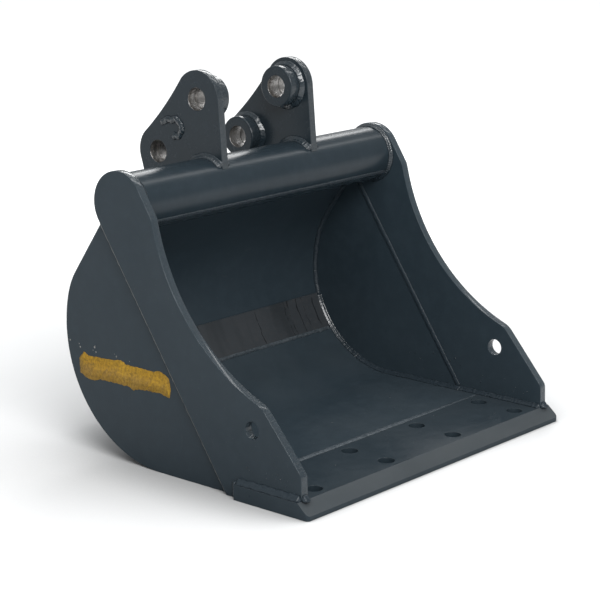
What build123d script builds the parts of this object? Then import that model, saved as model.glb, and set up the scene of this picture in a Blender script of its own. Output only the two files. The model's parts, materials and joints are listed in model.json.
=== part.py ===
from build123d import *
import math
import os

# Excavator bucket, about 530 mm cutting width, for a machine of 1.5 to 2 tonnes.
# Millimetres, +Z up, front (cutting edge) towards -Y, width along X.
# The origin is at the bottom centre of the whole bucket's box.
# Profile points are written (y, z) with y counted from the torque tube's axis.

os.makedirs("parts", exist_ok=True)

# ---- driving dimensions -------------------------------------------------
EDGE_WIDTH = 530.0          # cutting edge, side to side
EDGE_THICK = 20.0
EDGE_FRONT = -320.0         # nose of the cutting edge
EDGE_REAR = -200.0          # where the floor plate butts on
EDGE_NOSE = 6.0             # flat left on the bevelled front
EDGE_BEVEL = 16.5           # length of the bevel seen from above
EDGE_CORNER = 5.0
EDGE_HOLE_D = 22.0          # clearance for M20 bolts
EDGE_HOLE_PITCH = 141.0     # between columns, along X
EDGE_HOLE_ROWS = (-284.0, -224.0)

CUTTER_OUT = 257.5          # outer face of the thick front side plates
CUTTER_THICK = 12.0
HEAD_R = 43.0               # round head of the side cutter, about the tube
STRIP_ANGLE = 55.6          # slope of the side cutter strip
FRONT_KNEE = (-58.2, 330.4)
MOUTH_CENTRE = (-333.1, 389.1)
UPPER_KNEE = (-240.2, 123.6)
LOWER_KNEE = (-302.9, 51.2)
CUTTER_TOE = -304.0
SIDE_HOLE = (-224.4, 92.1)
SIDE_HOLE_D = 22.0

SIDE_OUT = 250.0            # outer face of the thin rear side plates
SIDE_THICK = 6.0
HEEL_R = 168.5              # round heel of the thin side plates
HEEL_Y = -60.0
CROWN_R = 100.0             # smaller arc that leads into the straight back
BACK_ANGLE = 54.75          # slope of the straight back, from level
SHELL_THICK = 6.0
SHELL_REAR = 108.5          # rearmost point of the shell
STRIP_LOW = 73.0            # joint strip inside the lower back wall
STRIP_HIGH = 120.0
STRIP_THICK = 3.0

TUBE_Z = 340.7
TUBE_R = 38.05
TUBE_WALL = 6.3
TUBE_SEAM_ANGLE = -143.0    # longitudinal seam of the rolled tube, front and below

EAR_OUT = 95.0
EAR_THICK = 12.0
UPPER_PIN = (17.0, 453.9)
LOWER_PIN = (88.5, 377.5)
UPPER_EAR_R = 37.7
LOWER_EAR_R = 35.0
EAR_HOLLOW = 3.0            # depth of the hollow between the two lobes
EAR_FRONT_LEAN = 0.0861     # front edge, y per z
EAR_REAR_LEAN = 17.3        # rear edge, degrees off upright
EAR_TOE = 8.0               # blunt toe on the back plate
PIN_BORE_D = 30.0
BOSS_FACE = 61.0            # inner face of each boss, from the centre plane
BOSS_R = 28.0
BOSS_CHAMFER = 1.5

LABEL_THICK = 0.4

WELD_TUBE = 4.5
WELD_EAR = 7.0
WELD_BOSS = 6.0
WELD_SIDE = 6.0
WELD_SEAM = 4.0
WELD_LEDGE = 6.0
WELD_BACK = 5.0

# ---- derived places -----------------------------------------------------
AXIS_Y = -(EDGE_FRONT + LOWER_PIN[0] + LOWER_EAR_R) / 2.0
CUTTER_IN = CUTTER_OUT - CUTTER_THICK
SIDE_IN = SIDE_OUT - SIDE_THICK
EAR_IN = EAR_OUT - EAR_THICK
SIDES = {"left": -1, "right": 1}


def unit(degrees):
    """Unit vector in the (y, z) plane, counted from +Y towards +Z."""
    return (math.cos(math.radians(degrees)), math.sin(math.radians(degrees)))


def move(point, direction, distance):
    return (point[0] + direction[0] * distance, point[1] + direction[1] * distance)


def dot(a, b):
    return a[0] * b[0] + a[1] * b[1]


AXIS = (0.0, TUBE_Z)
STRIP_DOWN = unit(180.0 + STRIP_ANGLE)
STRIP_REAR = unit(STRIP_ANGLE - 90.0)
BACK_UP = unit(180.0 - BACK_ANGLE)
BACK_OUT = unit(90.0 - BACK_ANGLE)
SEAM_TOP = move(AXIS, STRIP_REAR, HEAD_R)
SEAM_FOOT = move(SEAM_TOP, STRIP_DOWN, SEAM_TOP[1] / -STRIP_DOWN[1])
HEEL = (HEEL_Y, HEEL_R)

# shell: straight back tangent to one round heel, then the level floor
FLOOR_TOP = EDGE_THICK
FLOOR_LOW = FLOOR_TOP - SHELL_THICK
SHELL_SPAN = BACK_OUT[0] * (SEAM_TOP[0] - SHELL_REAR) + BACK_OUT[1] * (SEAM_TOP[1] - FLOOR_LOW)
SHELL_R = SHELL_SPAN / (1.0 - BACK_OUT[0] + BACK_OUT[1])
SHELL_C = (SHELL_REAR - SHELL_R, FLOOR_LOW + SHELL_R)
JOINT_Z = (STRIP_LOW + STRIP_HIGH) / 2.0
BACK_REACH = BACK_OUT[0] * SEAM_TOP[0] + BACK_OUT[1] * (SEAM_TOP[1] - TUBE_Z)


def back_meets_tube(reach):
    """Point on the tube where a line parallel to the back, at this reach from the axis, ends."""
    depth = math.sqrt(TUBE_R ** 2 - reach ** 2)
    return move(move(AXIS, BACK_OUT, reach), BACK_UP, -depth)


def world(x, point):
    return (x, point[0] + AXIS_Y, point[1])


def profile(edges):
    """Closed face in the side view from edges whose points are (y, z)."""
    return make_face(edges)


def plate(face, x_from, x_to):
    """Side-view face pushed out along X between two planes."""
    low, high = min(x_from, x_to), max(x_from, x_to)
    place = Location(Plane(origin=(low, AXIS_Y, 0), x_dir=(0, 1, 0), z_dir=(1, 0, 0)))
    return extrude(place * face, amount=high - low)


def rod(centre, radius, x_from, x_to):
    return plate(Pos(centre[0], centre[1]) * Circle(radius), x_from, x_to)


def round_corners(face, corners):
    """Fillet the profile corners nearest to the given points."""
    for point, radius in corners:
        corner = face.vertices().sort_by_distance((point[0], point[1], 0))[0]
        face = fillet(corner, radius)
    return face


def prism(start, end, section, along_u, along_v):
    """Straight bead: section points (u, v) carried from start to end."""
    origin = Vector(*start)
    u_axis, v_axis = Vector(*along_u), Vector(*along_v)
    points = [origin + u_axis * u + v_axis * v for u, v in section]
    run = Vector(*end) - origin
    face = make_face(Polyline(*points, close=True))
    return extrude(face, amount=run.length, dir=run.normalized())


def triangle(leg):
    return [(0, 0), (leg, 0), (0, leg)]


def ring_bead(centre, x, section, angle_from, angle_to):
    """Bead round an X axis; section points are (along X, radius)."""
    start = unit(angle_from)
    place = Plane(origin=world(0, centre), x_dir=(1, 0, 0), z_dir=(0, -start[1], start[0]))
    points = [(x + u, radius) for u, radius in section]
    face = place * make_face(Polyline(*points, close=True))
    axis = Axis(world(0, centre), (1, 0, 0))
    return revolve(face, axis, revolution_arc=angle_to - angle_from)


def solids_of(shapes):
    """All solids in a list of shapes, as one group."""
    found = []
    for shape in shapes:
        found += [solid for solid in shape.solids() if solid.volume > 1.0]
    return found


def tidy_group(shapes):
    found = solids_of(shapes)
    return found[0] if len(found) == 1 else Compound(children=found)


def touching(a, b):
    p, q = a.bounding_box(), b.bounding_box()
    gap = 0.01
    return all(
        getattr(p.min, k) < getattr(q.max, k) - gap and getattr(q.min, k) < getattr(p.max, k) - gap
        for k in "XYZ"
    )


def clear_of(shapes, others):
    """Cut the pieces back so that they meet the other pieces face to face."""
    result = []
    for shape in shapes:
        for other in others:
            for body in other.solids():
                if shape is not None and touching(shape, body):
                    shape = shape - body
        if shape is not None and shape.solids():
            result.append(shape)
    return result


# ---- plates -------------------------------------------------------------
def make_cutting_edge():
    section = [
        (EDGE_FRONT, 0.0),
        (EDGE_FRONT, EDGE_NOSE),
        (EDGE_FRONT + EDGE_BEVEL, EDGE_THICK),
        (EDGE_REAR, EDGE_THICK),
        (EDGE_REAR, 0.0),
    ]
    half = EDGE_WIDTH / 2.0
    blade = plate(profile(Polyline(*section, close=True)), -half, half)
    for x in edge_hole_columns():
        for row in EDGE_HOLE_ROWS:
            blade -= Pos(x, AXIS_Y + row, EDGE_THICK / 2.0) * Cylinder(EDGE_HOLE_D / 2.0, EDGE_THICK * 2.0)
    corners = blade.edges().filter_by(Axis.Z).group_by(Axis.Y)[0]
    blade = fillet(corners, EDGE_CORNER)
    return blade


def edge_hole_columns():
    return [(i - 1.5) * EDGE_HOLE_PITCH for i in range(4)]


def cutter_face():
    front_top = move(AXIS, STRIP_REAR, -HEAD_R)
    crown = move(AXIS, STRIP_DOWN, -HEAD_R)
    radius = math.dist(MOUTH_CENTRE, FRONT_KNEE)
    halfway = (-170.0, MOUTH_CENTRE[1] - math.sqrt(radius ** 2 - (-170.0 - MOUTH_CENTRE[0]) ** 2))
    toe = (CUTTER_TOE, EDGE_THICK)
    face = profile([
        ThreePointArc(SEAM_TOP, crown, front_top),
        Line(front_top, FRONT_KNEE),
        ThreePointArc(FRONT_KNEE, halfway, UPPER_KNEE),
        Line(UPPER_KNEE, LOWER_KNEE),
        Line(LOWER_KNEE, toe),
        Line(toe, (EDGE_REAR, EDGE_THICK)),
        Line((EDGE_REAR, EDGE_THICK), (EDGE_REAR, 0.0)),
        Line((EDGE_REAR, 0.0), SEAM_FOOT),
        Line(SEAM_FOOT, SEAM_TOP),
    ])
    return round_corners(face, [(FRONT_KNEE, 22.0), (UPPER_KNEE, 30.0), (LOWER_KNEE, 12.0)])


def make_side_cutter(side):
    body = plate(cutter_face(), side * CUTTER_IN, side * CUTTER_OUT)
    body -= rod(SIDE_HOLE, SIDE_HOLE_D / 2.0, side * (CUTTER_IN - 5), side * (CUTTER_OUT + 5))
    return body


def side_plate_face():
    offset = dot(BACK_OUT, (SEAM_TOP[0] - HEEL[0], SEAM_TOP[1] - HEEL[1]))
    turn = math.degrees(math.acos((offset - CROWN_R) / (HEEL_R - CROWN_R)))
    meet_angle = 90.0 - BACK_ANGLE - turn
    crown_centre = move(HEEL, unit(meet_angle), HEEL_R - CROWN_R)
    back_foot = move(crown_centre, BACK_OUT, CROWN_R)
    crown_mid = move(crown_centre, unit(90.0 - BACK_ANGLE - turn / 2.0), CROWN_R)
    meet = move(HEEL, unit(meet_angle), HEEL_R)
    heel_mid = move(HEEL, unit((meet_angle - 90.0) / 2.0), HEEL_R)
    heel_foot = move(HEEL, unit(-90.0), HEEL_R)
    return profile([
        Line(SEAM_TOP, back_foot),
        ThreePointArc(back_foot, crown_mid, meet),
        ThreePointArc(meet, heel_mid, heel_foot),
        Line(heel_foot, SEAM_FOOT),
        Line(SEAM_FOOT, SEAM_TOP),
    ])


def make_side_plate(side):
    return plate(side_plate_face(), side * SIDE_IN, side * SIDE_OUT)


def shell_angle(z, inset):
    """Angle on the heel arc, set in from the outside, that lies at height z."""
    return math.degrees(math.asin((z - SHELL_C[1]) / (SHELL_R - inset)))


def make_shell_back_plate():
    inner = SHELL_THICK
    high = 90.0 - BACK_ANGLE
    low = shell_angle(JOINT_Z, 0.0)
    top = move(back_meets_tube(BACK_REACH), BACK_UP, 15.0)
    tangent = move(SHELL_C, BACK_OUT, SHELL_R)
    middle = (high + low) / 2.0
    face = profile([
        Line(top, tangent),
        ThreePointArc(tangent, move(SHELL_C, unit(middle), SHELL_R), move(SHELL_C, unit(low), SHELL_R)),
        Line(move(SHELL_C, unit(low), SHELL_R), move(SHELL_C, unit(low), SHELL_R - inner)),
        ThreePointArc(
            move(SHELL_C, unit(low), SHELL_R - inner),
            move(SHELL_C, unit(middle), SHELL_R - inner),
            move(tangent, BACK_OUT, -inner),
        ),
        Line(move(tangent, BACK_OUT, -inner), move(top, BACK_OUT, -inner)),
        Line(move(top, BACK_OUT, -inner), top),
    ])
    return plate(face, -SIDE_IN, SIDE_IN) - tube_blank()


def make_floor_plate():
    low = shell_angle(JOINT_Z, 0.0)
    middle = (low - 90.0) / 2.0
    outer_r, inner_r = SHELL_R, SHELL_R - SHELL_THICK
    face = profile([
        ThreePointArc(move(SHELL_C, unit(low), outer_r), move(SHELL_C, unit(middle), outer_r),
                      (SHELL_C[0], FLOOR_LOW)),
        Line((SHELL_C[0], FLOOR_LOW), (EDGE_REAR, FLOOR_LOW)),
        Line((EDGE_REAR, FLOOR_LOW), (EDGE_REAR, FLOOR_TOP)),
        Line((EDGE_REAR, FLOOR_TOP), (SHELL_C[0], FLOOR_TOP)),
        ThreePointArc((SHELL_C[0], FLOOR_TOP), move(SHELL_C, unit(middle), inner_r),
                      move(SHELL_C, unit(low), inner_r)),
        Line(move(SHELL_C, unit(low), inner_r), move(SHELL_C, unit(low), outer_r)),
    ])
    return plate(face, -SIDE_IN, SIDE_IN)


def make_joint_strip():
    outer_r = SHELL_R - SHELL_THICK
    inner_r = outer_r - STRIP_THICK
    low = shell_angle(STRIP_LOW, SHELL_THICK)
    high = shell_angle(STRIP_HIGH, SHELL_THICK)
    middle = (low + high) / 2.0
    face = profile([
        ThreePointArc(*[move(SHELL_C, unit(a), outer_r) for a in (low, middle, high)]),
        Line(move(SHELL_C, unit(high), outer_r), move(SHELL_C, unit(high), inner_r)),
        ThreePointArc(*[move(SHELL_C, unit(a), inner_r) for a in (high, middle, low)]),
        Line(move(SHELL_C, unit(low), inner_r), move(SHELL_C, unit(low), outer_r)),
    ])
    reach = SIDE_IN - WELD_SIDE - 1.0
    return plate(face, -reach, reach)


# ---- torque tube, ears and bosses ---------------------------------------
def tube_blank():
    return rod(AXIS, TUBE_R, -CUTTER_IN, CUTTER_IN)


def make_torque_tube():
    return tube_blank() - rod(AXIS, TUBE_R - TUBE_WALL, -CUTTER_IN, CUTTER_IN)


def ear_front_y(z):
    level = UPPER_PIN[0] - UPPER_EAR_R * math.hypot(1.0, EAR_FRONT_LEAN)
    return level + EAR_FRONT_LEAN * (z - UPPER_PIN[1])


def ear_face():
    """Ear plate outline, running into the tube, which is then cut out of it."""
    front_angle = 180.0 - math.degrees(math.atan(EAR_FRONT_LEAN))
    front_touch = move(UPPER_PIN, unit(front_angle), UPPER_EAR_R)
    front_foot = (ear_front_y(TUBE_Z + 10.0), TUBE_Z + 10.0)

    between = math.degrees(math.atan2(LOWER_PIN[1] - UPPER_PIN[1], LOWER_PIN[0] - UPPER_PIN[0]))
    spread = math.dist(UPPER_PIN, LOWER_PIN)
    side_angle = between + math.degrees(math.acos((UPPER_EAR_R - LOWER_EAR_R) / spread))
    upper_touch = move(UPPER_PIN, unit(side_angle), UPPER_EAR_R)
    lower_touch = move(LOWER_PIN, unit(side_angle), LOWER_EAR_R)
    hollow = ((upper_touch[0] + lower_touch[0]) / 2.0, (upper_touch[1] + lower_touch[1]) / 2.0)
    hollow = move(hollow, unit(side_angle), -EAR_HOLLOW)

    rear_down = unit(-90.0 - EAR_REAR_LEAN)
    rear_touch = move(LOWER_PIN, unit(-EAR_REAR_LEAN), LOWER_EAR_R)
    height = dot(BACK_OUT, (rear_touch[0] - SEAM_TOP[0], rear_touch[1] - SEAM_TOP[1]))
    toe_top = move(rear_touch, rear_down, (height - EAR_TOE) / -dot(BACK_OUT, rear_down))
    toe_foot = move(toe_top, BACK_OUT, -EAR_TOE)
    inside = move(back_meets_tube(BACK_REACH), BACK_UP, 20.0)

    top_mid = move(UPPER_PIN, unit((front_angle + side_angle) / 2.0), UPPER_EAR_R)
    lobe_mid = move(LOWER_PIN, unit((side_angle - EAR_REAR_LEAN) / 2.0), LOWER_EAR_R)
    return profile([
        Line(front_foot, front_touch),
        ThreePointArc(front_touch, top_mid, upper_touch),
        ThreePointArc(upper_touch, hollow, lower_touch),
        ThreePointArc(lower_touch, lobe_mid, rear_touch),
        Line(rear_touch, toe_top),
        Line(toe_top, toe_foot),
        Line(toe_foot, inside),
        Line(inside, front_foot),
    ])


def make_ear(side):
    body = plate(ear_face(), side * EAR_IN, side * EAR_OUT) - tube_blank()
    for pin in (UPPER_PIN, LOWER_PIN):
        body -= rod(pin, PIN_BORE_D / 2.0, side * (EAR_IN - 5), side * (EAR_OUT + 5))
    return body


def make_boss(side, pin):
    body = rod(pin, BOSS_R, side * BOSS_FACE, side * EAR_IN)
    rim = body.edges().filter_by(GeomType.CIRCLE).sort_by_distance(world(side * BOSS_FACE, pin))
    nearest = [edge for edge in rim if abs(edge.center().X - side * BOSS_FACE) < 0.1]
    body = chamfer(nearest, BOSS_CHAMFER)
    return body - rod(pin, PIN_BORE_D / 2.0, side * (BOSS_FACE - 5), side * (EAR_IN + 5))


# ---- label --------------------------------------------------------------
def make_label():
    """Plain sticker on the left rear side plate, with a ragged outline."""
    corners = [(85, 130), (75, 137), (63, 133), (14, 136), (0, 137), (-13, 133), (-52, 133), (-66, 137),
               (-77, 134), (-83, 113), (-77, 103), (-19, 102), (30, 100), (62, 100), (82, 107)]
    face = profile(Polyline(*corners, close=True))
    return plate(face, -SIDE_OUT - LABEL_THICK, -SIDE_OUT)


# ---- weld beads ---------------------------------------------------------
def tube_seam_bead():
    """Low bead along the tube's longitudinal seam."""
    half_turn = 3.6
    section = [(-CUTTER_IN + 8.0, TUBE_R - 0.5), (CUTTER_IN - 8.0, TUBE_R - 0.5),
               (CUTTER_IN - 8.0, TUBE_R + 1.6), (-CUTTER_IN + 8.0, TUBE_R + 1.6)]
    return [ring_bead(AXIS, 0.0, section, TUBE_SEAM_ANGLE - half_turn, TUBE_SEAM_ANGLE + half_turn)]


def tube_end_bead(side):
    section = [(0.0, TUBE_R - 0.5), (-side * WELD_TUBE, TUBE_R - 0.5),
               (-side * WELD_TUBE, TUBE_R), (0.0, TUBE_R + WELD_TUBE)]
    return [ring_bead(AXIS, side * CUTTER_IN, section, 0.0, 360.0)]


def ear_tube_beads(side):
    """Fillets on both faces of one ear, round the tube and down the back plate."""
    beads = []
    start_angle = 128.0
    end_angle = -40.0
    back_top = move(SEAM_TOP, BACK_UP, 5.0)
    back_foot = move(SEAM_TOP, BACK_UP, -62.0)
    for x, outward in ((side * EAR_OUT, side), (side * EAR_IN, -side)):
        section = [(0.0, TUBE_R - 0.5), (outward * WELD_EAR, TUBE_R - 0.5),
                   (outward * WELD_EAR, TUBE_R), (0.0, TUBE_R + WELD_EAR)]
        beads.append(ring_bead(AXIS, x, section, end_angle, start_angle))
        beads.append(prism(world(x, back_top), world(x, back_foot), triangle(WELD_EAR * 0.8),
                           (outward, 0, 0), (0,) + BACK_OUT))
    return beads


def boss_bead(side, pin):
    section = [(0.0, BOSS_R - 0.5), (-side * WELD_BOSS, BOSS_R - 0.5),
               (-side * WELD_BOSS, BOSS_R), (0.0, BOSS_R + WELD_BOSS)]
    return [ring_bead(pin, side * EAR_IN, section, 0.0, 360.0)]


def outer_seam_bead(side):
    """Fillet in the step between the thin side plate and the side cutter."""
    foot = move(SEAM_FOOT, STRIP_DOWN, -WELD_SEAM)
    return [prism(world(side * SIDE_OUT, SEAM_TOP), world(side * SIDE_OUT, foot),
                  triangle(WELD_SEAM), (side, 0, 0), (0,) + STRIP_REAR)]


def inner_seam_bead(side):
    """Low bead over the same joint, inside the bucket."""
    start = move(SEAM_TOP, STRIP_DOWN, 22.0)
    foot = move(SEAM_TOP, STRIP_DOWN, (SEAM_TOP[1] - FLOOR_TOP - 2.0) / -STRIP_DOWN[1])
    step = CUTTER_IN - SIDE_IN
    section = [(0.0, -3.0), (step + 0.6, -1.0), (step + 0.9, 1.5), (step, 3.5), (step, 0.0), (0.0, 0.0)]
    return [prism(world(side * CUTTER_IN, start), world(side * CUTTER_IN, foot), section,
                  (-side, 0, 0), (0,) + STRIP_REAR)]


def inner_side_beads(side):
    """Fillet between the shell and one side, all the way round the inside."""
    inner_r = SHELL_R - SHELL_THICK
    tangent = move(SHELL_C, BACK_OUT, inner_r)
    top = back_meets_tube(BACK_REACH - SHELL_THICK)
    seam_floor = move(SEAM_TOP, STRIP_DOWN, (SEAM_TOP[1] - FLOOR_TOP) / -STRIP_DOWN[1])
    inward = (-side, 0, 0)
    back_in = (0, -BACK_OUT[0], -BACK_OUT[1])
    arc_section = [(0.0, inner_r + 0.5), (-side * WELD_SIDE, inner_r + 0.5),
                   (-side * WELD_SIDE, inner_r), (0.0, inner_r - WELD_SIDE)]
    return [
        prism(world(side * SIDE_IN, top), world(side * SIDE_IN, tangent), triangle(WELD_SIDE), inward, back_in),
        ring_bead(SHELL_C, side * SIDE_IN, arc_section, -90.0, 90.0 - BACK_ANGLE),
        prism(world(side * SIDE_IN, (SHELL_C[0], FLOOR_TOP)), world(side * SIDE_IN, seam_floor),
              triangle(WELD_SIDE), inward, (0, 0, 1)),
        prism(world(side * CUTTER_IN, seam_floor), world(side * CUTTER_IN, (CUTTER_TOE, FLOOR_TOP)),
              triangle(WELD_SIDE), inward, (0, 0, 1)),
    ]


def outer_side_beads(side):
    """Fillet under the floor and low bead up the back, outside the shell."""
    inward = (-side, 0, 0)
    tangent = move(SHELL_C, BACK_OUT, SHELL_R)
    low_bead = [(0.0, 0.0), (5.0, 0.0), (0.0, 1.4)]
    arc_section = [(0.0, SHELL_R - 0.5), (-side * WELD_BACK, SHELL_R - 0.5),
                   (-side * WELD_BACK, SHELL_R), (0.0, SHELL_R + 1.4)]
    return [
        prism(world(side * SIDE_IN, SEAM_TOP), world(side * SIDE_IN, tangent), low_bead, inward, (0,) + BACK_OUT),
        ring_bead(SHELL_C, side * SIDE_IN, arc_section, -90.0, 90.0 - BACK_ANGLE),
        prism(world(side * SIDE_IN, (SHELL_C[0], FLOOR_LOW)), world(side * SIDE_IN, (EDGE_REAR, FLOOR_LOW)),
              triangle(WELD_BACK), inward, (0, 0, -1)),
    ]


def back_plate_tube_bead():
    """Fillet between the top of the back plate and the tube, outside."""
    corner = back_meets_tube(BACK_REACH)
    section = [(0.0, 1.0), (0.0, -WELD_BACK), (WELD_BACK * 0.9, WELD_BACK * 0.5)]
    return [prism(world(-SIDE_IN, corner), world(SIDE_IN, corner), section, (0,) + BACK_OUT, (0,) + BACK_UP)]


def edge_floor_beads():
    """Cap over the butt joint on top, and a fillet underneath."""
    cap = [(-4.5, 0.0), (-2.0, 1.4), (2.0, 1.4), (4.5, 0.0)]
    reach = SIDE_IN - WELD_SIDE
    return [
        prism(world(-reach, (EDGE_REAR, FLOOR_TOP)), world(reach, (EDGE_REAR, FLOOR_TOP)), cap,
              (0, 1, 0), (0, 0, 1)),
        prism(world(-SIDE_IN, (EDGE_REAR, FLOOR_LOW)), world(SIDE_IN, (EDGE_REAR, FLOOR_LOW)),
              triangle(WELD_BACK), (0, 1, 0), (0, 0, -1)),
    ]


def edge_side_beads(side):
    """Fillet on the ledge of the cutting edge outside, and round both ends."""
    x = side * CUTTER_OUT
    return [
        prism(world(x, (CUTTER_TOE, EDGE_THICK)), world(x, (EDGE_REAR, EDGE_THICK)),
              triangle(WELD_LEDGE), (side, 0, 0), (0, 0, 1)),
        prism(world(x, (EDGE_REAR, 1.0)), world(x, (EDGE_REAR, EDGE_THICK + WELD_LEDGE)),
              triangle(WELD_LEDGE), (side, 0, 0), (0, 1, 0)),
        prism(world(side * CUTTER_IN, (CUTTER_TOE, EDGE_THICK)), world(x, (CUTTER_TOE, EDGE_THICK)),
              triangle(WELD_LEDGE * 0.8), (0, -1, 0), (0, 0, 1)),
    ]


def joint_strip_bead():
    """Fillet along the lower edge of the joint strip."""
    angle = shell_angle(STRIP_LOW, SHELL_THICK)
    corner = move(SHELL_C, unit(angle), SHELL_R - SHELL_THICK)
    inward = unit(angle + 180.0)
    down = unit(angle - 90.0)
    reach = SIDE_IN - WELD_SIDE - 1.0
    section = [(-0.4, 0.0), (STRIP_THICK + 0.5, 0.0), (-0.4, 4.5)]
    return [prism(world(-reach, corner), world(reach, corner), section, (0,) + inward, (0,) + down)]


# ---- assembly -----------------------------------------------------------
def build():
    nodes = {}
    nodes["torque_tube"] = make_torque_tube()
    nodes["cutting_edge"] = make_cutting_edge()
    nodes["shell_back_plate"] = make_shell_back_plate()
    nodes["floor_plate"] = make_floor_plate()
    nodes["joint_strip"] = make_joint_strip()
    for name, side in SIDES.items():
        nodes["side_cutter_" + name] = make_side_cutter(side)
        nodes["side_plate_" + name] = make_side_plate(side)
        nodes["ear_" + name] = make_ear(side)
        nodes["upper_boss_" + name] = make_boss(side, UPPER_PIN)
        nodes["lower_boss_" + name] = make_boss(side, LOWER_PIN)
    nodes["side_label"] = make_label()

    beads = {}
    beads["tube_seam_weld"] = tube_seam_bead()
    beads["back_plate_tube_weld"] = back_plate_tube_bead()
    beads["edge_floor_weld"] = edge_floor_beads()
    beads["joint_strip_weld"] = joint_strip_bead()
    for name, side in SIDES.items():
        beads["tube_end_weld_" + name] = tube_end_bead(side)
        beads["ear_tube_weld_" + name] = ear_tube_beads(side)
        beads["upper_boss_weld_" + name] = boss_bead(side, UPPER_PIN)
        beads["lower_boss_weld_" + name] = boss_bead(side, LOWER_PIN)
        beads["outer_seam_weld_" + name] = outer_seam_bead(side)
        beads["inner_seam_weld_" + name] = inner_seam_bead(side)
        beads["inner_side_weld_" + name] = inner_side_beads(side)
        beads["outer_side_weld_" + name] = outer_side_beads(side)
        beads["edge_side_weld_" + name] = edge_side_beads(side)
    for name, shapes in beads.items():
        pieces = []
        for shape in shapes:
            pieces += clear_of([shape], list(nodes.values()) + pieces)
        nodes[name] = tidy_group(pieces)
    return nodes


for node_name, node_shape in build().items():
    export_step(node_shape, "parts/" + node_name + ".step")
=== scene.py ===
import json
import math
import random

import bmesh
import bpy
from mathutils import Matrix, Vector, noise


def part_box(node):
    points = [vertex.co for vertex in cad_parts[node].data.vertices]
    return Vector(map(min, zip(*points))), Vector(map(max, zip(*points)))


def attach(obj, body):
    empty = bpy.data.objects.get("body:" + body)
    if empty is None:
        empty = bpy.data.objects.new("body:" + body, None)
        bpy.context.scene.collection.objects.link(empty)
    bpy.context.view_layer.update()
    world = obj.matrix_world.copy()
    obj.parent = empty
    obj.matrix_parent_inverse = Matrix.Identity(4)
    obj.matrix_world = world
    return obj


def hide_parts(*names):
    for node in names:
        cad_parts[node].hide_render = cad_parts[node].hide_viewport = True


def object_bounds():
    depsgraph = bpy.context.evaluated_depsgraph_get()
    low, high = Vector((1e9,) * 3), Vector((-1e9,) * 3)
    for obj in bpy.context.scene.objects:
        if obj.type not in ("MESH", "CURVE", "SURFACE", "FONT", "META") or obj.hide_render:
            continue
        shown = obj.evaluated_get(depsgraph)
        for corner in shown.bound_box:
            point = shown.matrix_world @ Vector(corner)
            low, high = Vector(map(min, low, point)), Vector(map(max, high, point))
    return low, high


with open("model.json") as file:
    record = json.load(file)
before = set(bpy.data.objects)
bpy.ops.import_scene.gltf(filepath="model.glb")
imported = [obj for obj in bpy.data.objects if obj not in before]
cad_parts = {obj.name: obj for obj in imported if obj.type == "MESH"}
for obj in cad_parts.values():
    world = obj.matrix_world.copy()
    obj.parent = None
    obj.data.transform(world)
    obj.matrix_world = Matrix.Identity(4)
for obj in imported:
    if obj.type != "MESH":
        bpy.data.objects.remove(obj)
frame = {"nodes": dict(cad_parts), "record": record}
cad_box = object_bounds()

# ---- places, worked out from the frame (metres) ---------------------------
MM = 0.001
BODY = "root"
SIDES = {"left": -1, "right": 1}
mounts = {mount["name"]: mount for mount in frame["record"]["mounts"]}
UPPER_PIN = Vector(mounts["upper_pin_bore"]["pos_m"])
LOWER_PIN = Vector(mounts["lower_pin_bore"]["pos_m"])
PIN_R = mounts["upper_pin_bore"]["dims"]["r_mm"] * MM

tube_low, tube_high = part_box("torque_tube")
AXIS = (tube_low + tube_high) / 2
TUBE_R = (tube_high.z - tube_low.z) / 2
CUTTER_IN = tube_high.x
CUTTER_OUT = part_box("side_cutter_right")[1].x
SIDE_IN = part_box("side_plate_right")[0].x
SIDE_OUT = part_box("side_plate_right")[1].x
EAR_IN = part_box("ear_right")[0].x
EAR_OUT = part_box("ear_right")[1].x
boss_low, boss_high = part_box("upper_boss_right")
BOSS_R = (boss_high.z - boss_low.z) / 2
HEAD_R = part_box("side_cutter_right")[1].z - AXIS.z
edge_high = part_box("cutting_edge")[1]
EDGE_TOP = edge_high.z
EDGE_REAR = edge_high.y
CUTTER_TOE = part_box("side_cutter_right")[0].y
FLOOR_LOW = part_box("floor_plate")[0].z
SHELL_THICK = EDGE_TOP - FLOOR_LOW
SHELL_REAR = max(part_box("shell_back_plate")[1].y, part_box("floor_plate")[1].y)
strip_low, strip_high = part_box("joint_strip")

STRIP_ANGLE = math.radians(55.6)     # slope of the side cutters
BACK_ANGLE = math.radians(54.75)     # slope of the straight back


def unit(angle):
    """Unit vector in the YZ plane, counted from +Y towards +Z."""
    return Vector((0, math.cos(angle), math.sin(angle)))


UP = Vector((0, 0, 1))
REARWARD = Vector((0, 1, 0))
FORWARD = Vector((0, -1, 0))
STRIP_DOWN = unit(math.pi + STRIP_ANGLE)
STRIP_REAR = unit(STRIP_ANGLE - math.pi / 2)
BACK_UP = unit(math.pi - BACK_ANGLE)
BACK_OUT = unit(math.pi / 2 - BACK_ANGLE)
SEAM_TOP = AXIS + STRIP_REAR * HEAD_R
BACK_REACH = BACK_OUT.dot(SEAM_TOP - AXIS)
SHELL_R = (BACK_OUT.y * (SEAM_TOP.y - SHELL_REAR) + BACK_OUT.z * (SEAM_TOP.z - FLOOR_LOW)) / (
    1 - BACK_OUT.y + BACK_OUT.z)
SHELL_C = Vector((0, SHELL_REAR - SHELL_R, FLOOR_LOW + SHELL_R))
SHELL_IN = SHELL_R - SHELL_THICK


def at(x, point):
    """The same point in another plane across the bucket."""
    return Vector((x, point.y, point.z))


def seam_at(z):
    """Point of the slanted side seam at this height."""
    return SEAM_TOP + STRIP_DOWN * ((SEAM_TOP.z - z) / -STRIP_DOWN.z)


def back_meets_tube(reach):
    """Where a plane parallel to the back, this far from the tube's axis, meets the tube."""
    return AXIS + BACK_OUT * reach - BACK_UP * math.sqrt(TUBE_R ** 2 - reach ** 2)


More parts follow.
